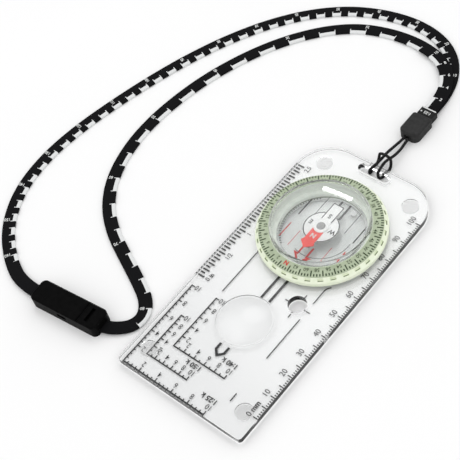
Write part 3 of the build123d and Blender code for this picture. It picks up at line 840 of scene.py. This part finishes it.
def lathe(name, profiles, material):
    """Solid turned about the dial's axis from (radius, height) profiles that begin and end on it."""
    vertices, faces = [], []
    angles = [2 * math.pi * step / LATHE_STEPS for step in range(LATHE_STEPS)]
    for profile in profiles:
        rings = []
        for radius, height in profile:
            first = len(vertices)
            if radius == 0:
                vertices.append((0, DIAL_Y, height))
                rings.append([first] * LATHE_STEPS)
            else:
                vertices += [(radius * math.cos(a), DIAL_Y + radius * math.sin(a), height) for a in angles]
                rings.append(list(range(first, first + LATHE_STEPS)))
        for low, high in zip(rings, rings[1:]):
            for here in range(LATHE_STEPS):
                onward = (here + 1) % LATHE_STEPS
                corners = (low[here], low[onward], high[onward], high[here])
                faces.append(list(dict.fromkeys(corners)))
    piece = mesh_piece(name, vertices, faces, material)
    piece.data.shade_smooth()
    piece.data.set_sharp_from_angle(angle=math.radians(25))
    return piece


def dome(radius, edge_height, apex_height, count=24):
    """Profile of a shallow dome from its edge to its apex."""
    rise = apex_height - edge_height
    ball = (radius**2 + rise**2) / (2 * rise)
    radii = [radius * (count - step) / count for step in range(count + 1)]
    return [(at, apex_height - ball + math.sqrt(ball**2 - at**2)) for at in radii]


def make_capsule():
    """Cup and lid welded into one clear body, so that no seam darkens the view inside."""
    base_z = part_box("capsule_base")[0].z / MM
    outer_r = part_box("capsule_base")[1].x / MM
    wall_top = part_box("capsule_lid")[0].z / MM
    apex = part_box("capsule_lid")[1].z / MM
    edge = wall_top + LID_T
    skin = [(0, base_z), (FLOOR_R, base_z), (FLOOR_R, CAPSULE_SEAT), (outer_r, CAPSULE_SEAT)]
    for step in range(5):
        angle = math.radians(18 * step)
        radius = outer_r - LID_SHOULDER + LID_SHOULDER * math.cos(angle)
        skin.append((radius, edge - LID_SHOULDER + LID_SHOULDER * math.sin(angle)))
    skin += dome(outer_r - LID_SHOULDER, edge, apex)
    bore = outer_r - CAPSULE_WALL
    well = FLOOR_R - CAPSULE_WALL
    ledge = CAPSULE_SEAT + CAPSULE_STEP
    cavity = [(0, BOSS_TOP), (BOSS_R, BOSS_TOP), (BOSS_R, CAPSULE_FLOOR), (well, CAPSULE_FLOOR)]
    cavity += [(well, ledge), (bore, ledge), *dome(bore, wall_top, apex - LID_T)]
    body = lathe("capsule_body", [skin, cavity[::-1]], MATERIALS["capsule"])
    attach(body, "dial")
    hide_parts("capsule_lid", "capsule_base")
    return body


# ---------------------------------------------------------------- print on the dial
MIL_TICKS = 128  # one every 50 mils of the 6400 in the circle
TICK_OUT = 24.15
TICK_SHORT_IN = 23.1
TICK_LONG_IN = 21.7
TICK_W = 0.5
DIAL_FIGURE = 1.55
DIAL_FIGURE_R = 21.5
NORTH_LETTER = 1.8
CARDINALS = {16: "E", 32: "S", 48: "W"}


def around(radius, bearing):
    """Point on the dial at a compass bearing, clockwise from +Y."""
    angle = math.radians(bearing)
    return (radius * math.sin(angle), radius * math.cos(angle))


def make_dial_print():
    """Scale of 64 hundreds: long ticks at the odd ones, figures at the even ones."""
    marks = Print("bearing_scale", band_place)
    for number in range(MIL_TICKS):
        bearing = number * 360 / MIL_TICKS
        inner = TICK_LONG_IN if number % 4 == 2 else TICK_SHORT_IN
        marks.bar(around(TICK_OUT, bearing), around(inner, bearing), TICK_W)
        if number % 4 == 0 and number:
            hundreds = number // 2
            words = CARDINALS.get(hundreds, str(hundreds))
            marks.text(words, around(DIAL_FIGURE_R, bearing), DIAL_FIGURE, -bearing, 0.01, 0.95)
    marks.finish("ink_green", "dial")
    north = Print("north_letter", band_place)
    north.text("N", around(DIAL_FIGURE_R, 0), NORTH_LETTER, 0, 0.05)
    north.finish("ink_red", "dial")


GRIP_NOTCHES = 32
GRIP_PHASE = 2.8
NOTCH_FLOOR = 6.2
NOTCH_SHADE = (25.05, 2.3, 0.4)  # radius, length and width of the shade in each notch


def shade_notches():
    """Painted shade: a darker line at the root of each finger notch of the rim, where the notch lies in
    shadow.
    """
    radius, length, width = NOTCH_SHADE
    marks = Print("notch_painted_shade", flat_place(NOTCH_FLOOR + 0.01, 0.0, DIAL_Y))
    half = math.degrees(length / 2 / radius)
    for number in range(GRIP_NOTCHES):
        middle = GRIP_PHASE + number * 360 / GRIP_NOTCHES
        marks.arc((0, 0), radius, middle - half, middle + half, width)
    marks.finish("notch_shade", "dial")


# section of the liner, (radius, height): up the neck, out over the seat and up the bore
LINER_IN = [(17.80, 2.6), (17.80, 4.26), (19.96, 4.26), (19.96, 8.38)]
LINER_OUT = [(17.87, 2.6), (17.87, 4.21), (20.04, 4.21), (20.04, 8.38)]


def line_bore():
    """Pale sleeve between the capsule and the bore of the dial; its faint glow is painted light that lifts
    the shade inside the capsule.
    """
    profile = [*LINER_OUT, *reversed(LINER_IN), LINER_OUT[0]]
    sleeve = lathe("glowing_bore_liner", [profile], MATERIALS["liner"])
    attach(sleeve, "dial")


# lines each side of the axis on the capsule's floor: x, width, start and end
SOUTH_LINES = [(13.2, 0.5, -2.0, -10.7), (7.7, 0.22, -4.0, -15.0), (2.0, 0.9, -8.0, -16.0)]
NORTH_LINES = [(13.2, 0.45, 2.8, 10.3), (7.7, 0.22, 4.0, 12.0)]
ARROW = [(-2.0, 8.0), (-2.0, 13.0), (-3.2, 13.0), (0.0, 16.2), (3.2, 13.0), (2.0, 13.0), (2.0, 8.0)]
ARROW_W = 0.8
DASH = (16.1, 16.9, 0.35)  # inner and outer radius and width of a declination dash


def capsule_lines(marks, lines):
    for x, width, start, end in lines:
        for sign in (-1, 1):
            marks.bar((sign * x, start), (sign * x, end), width)


def make_capsule_print():
    """Orienting arrow, meridian lines and declination dashes on the capsule's floor."""
    floor = flat_place(CAPSULE_FLOOR + 0.02, 0.0, DIAL_Y)
    dark = Print("meridians_south", floor)
    capsule_lines(dark, SOUTH_LINES)
    dark.finish("ink_black", "dial")
    arc = Print("declination_arc", floor)
    arc.arc((0, 0), 12.6, 70, 185, 0.3)
    arc.finish("ink_grey", "dial")
    red = Print("meridians_north", floor)
    capsule_lines(red, NORTH_LINES)
    red.path(ARROW, ARROW_W)
    red.finish("ink_red", "dial")
    dashes = Print("declination_dashes", floor)
    inner, outer, width = DASH
    for bearing in range(40, 142, 4):
        dashes.bar(around(inner, bearing), around(outer, bearing), width)
    dashes.finish("ink_black", "dial")


OUTLINE_W = 0.35
SOUTH_BAR = (2.28, -3.3, -11.65)  # half width and two ends of the south bar's outline
DISC_LINE_R = 6.95
NEEDLE_LETTER = 2.1


def make_needle_print():
    """Letters and outlines of the needle, which has E on its right when N is up."""
    outline = Print("needle_outline", flat_place(NEEDLE_TOP + 0.01, 0.0, DIAL_Y))
    outline.text("S", (0.0, -5.6), NEEDLE_LETTER, 0, 0.03)
    edge, near, far = SOUTH_BAR
    outline.path([(-edge, near), (-edge, far), (edge, far), (edge, near)], OUTLINE_W)
    outline.finish("ink_black", "needle")
    letters = Print("needle_letters", flat_place(DISC_TOP + 0.01, 0.0, DIAL_Y))
    letters.text("E", (5.0, 0.0), 2.0, 0, 0.03)
    letters.text("W", (-5.0, 0.0), 2.0, 0, 0.03)
    for start in (-68, 112):
        letters.arc((0, 0), DISC_LINE_R, start, start + 136, OUTLINE_W)
    letters.finish("ink_black", "needle")
    north = Print("needle_north_letter", flat_place(NEEDLE_TOP + 0.01, 0.0, DIAL_Y))
    north.text("N", (0.0, 5.2), NEEDLE_LETTER, 0, 0.04)
    north.finish("ink_white", "needle")


# ---------------------------------------------------------------- stage
FLOOR_HALF = 4.0  # metres


def make_stage():
    mesh = bpy.data.meshes.new("floor")
    signs = ((-1, -1), (1, -1), (1, 1), (-1, 1))
    mesh.from_pydata([(x * FLOOR_HALF, y * FLOOR_HALF, 0) for x, y in signs], [], [(0, 1, 2, 3)])
    material, tree, shader = principled("floor_white", Roughness=0.9, Specular_IOR_Level=0.0)
    tone = ramp(tree, object_noise(tree, 8.0), [(0.0, grey(0.90)), (1.0, grey(0.92))])
    tree.links.new(tone, shader.inputs["Base Color"])
    mesh.materials.append(material)
    floor = bpy.data.objects.new("floor", mesh)
    bpy.context.scene.collection.objects.link(floor)


def make_strip_light(name, start, end, width, power):
    """Long soft box between two points, facing the compass."""
    start, end = Vector(start), Vector(end)
    centre = (start + end) / 2
    along = (end - start).normalized()
    away = (centre - along * centre.dot(along)).normalized()
    across = away.cross(along)
    data = bpy.data.lights.new(name, "AREA")
    data.shape = "RECTANGLE"
    data.size = (end - start).length
    data.size_y = width
    data.energy = power
    lamp = bpy.data.objects.new(name, data)
    bpy.context.scene.collection.objects.link(lamp)
    turn = Matrix((along, across, away)).transposed().to_4x4()
    lamp.matrix_world = Matrix.Translation(centre) @ turn
    return lamp


GLOW_AT = (0.38, -0.47, 0.80)  # direction of the soft bright patch mirrored in the plate
GLOW_EDGE = 0.972
GLOW_CORE = 0.999
GLOW_STRENGTH = 1.9
SKY_STRENGTH = 1.09
KEY_FROM = (0.544, -0.622, 0.562)
KEY_TO = (0.34, -0.663, 0.667)
KEY_WIDTH = 0.03
KEY_POWER = 0.6


def make_world():
    """White room with a darker horizon and one soft bright patch."""
    world = bpy.data.worlds.new("studio")
    world.use_nodes = True
    tree = world.node_tree
    place = tree.nodes.new("ShaderNodeTexCoord")
    split = tree.nodes.new("ShaderNodeSeparateXYZ")
    tree.links.new(place.outputs["Generated"], split.inputs["Vector"])
    colour = ramp(tree, split.outputs["Z"], [(0.0, grey(0.55)), (0.3, grey(0.95)), (1.0, grey(1.0))])
    facing = tree.nodes.new("ShaderNodeVectorMath")
    facing.operation = "DOT_PRODUCT"
    tree.links.new(place.outputs["Generated"], facing.inputs[0])
    facing.inputs[1].default_value = Vector(GLOW_AT).normalized()
    patch = tree.nodes.new("ShaderNodeMapRange")
    patch.interpolation_type = "SMOOTHSTEP"
    tree.links.new(facing.outputs["Value"], patch.inputs["Value"])
    limits = {"From Min": GLOW_EDGE, "From Max": GLOW_CORE, "To Min": 0.0, "To Max": GLOW_STRENGTH}
    for name, value in limits.items():
        patch.inputs[name].default_value = value
    strength = math_node(tree, "ADD", patch.outputs["Result"], SKY_STRENGTH)
    background = tree.nodes["Background"]
    tree.links.new(colour, background.inputs["Color"])
    tree.links.new(strength, background.inputs["Strength"])
    bpy.context.scene.world = world


def make_lights(receiver):
    """Strip box whose streak shows on the dome only."""
    lamp = make_strip_light("key", KEY_FROM, KEY_TO, KEY_WIDTH, KEY_POWER)
    lit = bpy.data.collections.new("lit_by_key")
    lit.objects.link(receiver)
    lamp.light_linking.receiver_collection = lit


def set_view():
    # blurred gloss would darken everything that is seen through the clear plate
    bpy.context.scene.cycles.blur_glossy = 0.0
    view = bpy.context.scene.view_settings
    view.view_transform = "Standard"
    view.look = "None"


make_camera()
make_lanyard()
dress_cad_nodes()
capsule_body = make_capsule()
make_plate_print()
make_dial_print()
shade_notches()
line_bore()
make_capsule_print()
make_needle_print()
make_stage()
make_world()
make_lights(capsule_body)
set_view()
